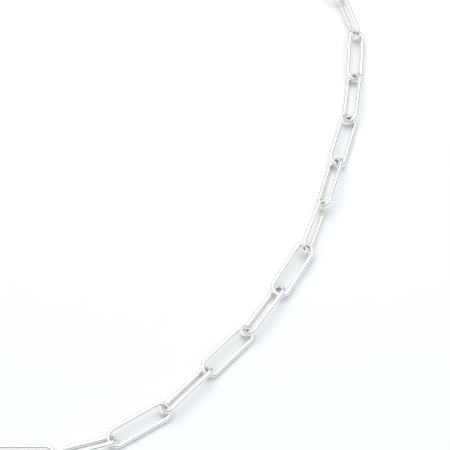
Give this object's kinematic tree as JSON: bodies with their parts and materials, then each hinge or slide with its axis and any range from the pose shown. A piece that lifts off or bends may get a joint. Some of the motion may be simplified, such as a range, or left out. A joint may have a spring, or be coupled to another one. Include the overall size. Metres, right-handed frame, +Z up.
{
  "type": "paperclip chain necklace",
  "caption": "Necklace chain of long oval wire links that hang in one another, a whole loop closed by a plain spring ring clasp, lying on a table as worn jewellery is laid down.",
  "frame": {"origin": "middle of the laid loop, on the table that it rests on", "axes": "+Z up from the table, +Y along the loop's longer way, away from a person who looks at its front, +X to that person's right"},
  "size_m": [0.1453, 0.1542, 0.0045],
  "materials": {
    "chain_silver": "polished sterling silver wire, faint drawing lines and soft wear",
    "ring_silver": "polished sterling silver",
    "clasp_silver": "polished sterling silver, lightly brushed by use"
  },
  "bodies": {
    "root": {"link_01": "chain_silver", "link_02": "chain_silver", "link_03": "chain_silver", "link_04": "chain_silver", "link_05": "chain_silver", "link_06": "chain_silver", "link_07": "chain_silver", "link_08": "chain_silver", "link_09": "chain_silver", "link_10": "chain_silver", "link_11": "chain_silver", "link_12": "chain_silver", "link_13": "chain_silver", "link_14": "chain_silver", "link_15": "chain_silver", "link_16": "chain_silver", "link_17": "chain_silver", "link_18": "chain_silver", "link_19": "chain_silver", "link_20": "chain_silver", "link_21": "chain_silver", "link_22": "chain_silver", "link_23": "chain_silver", "link_24": "chain_silver", "link_25": "chain_silver", "link_26": "chain_silver", "link_27": "chain_silver", "link_28": "chain_silver", "link_29": "chain_silver", "link_30": "chain_silver", "link_31": "chain_silver", "link_32": "chain_silver", "link_33": "chain_silver", "link_34": "chain_silver", "link_35": "chain_silver", "link_36": "chain_silver", "link_37": "chain_silver", "link_38": "chain_silver", "jump_ring_a": "ring_silver", "clasp": "clasp_silver", "jump_ring_b": "ring_silver"}
  },
  "joints": []
}
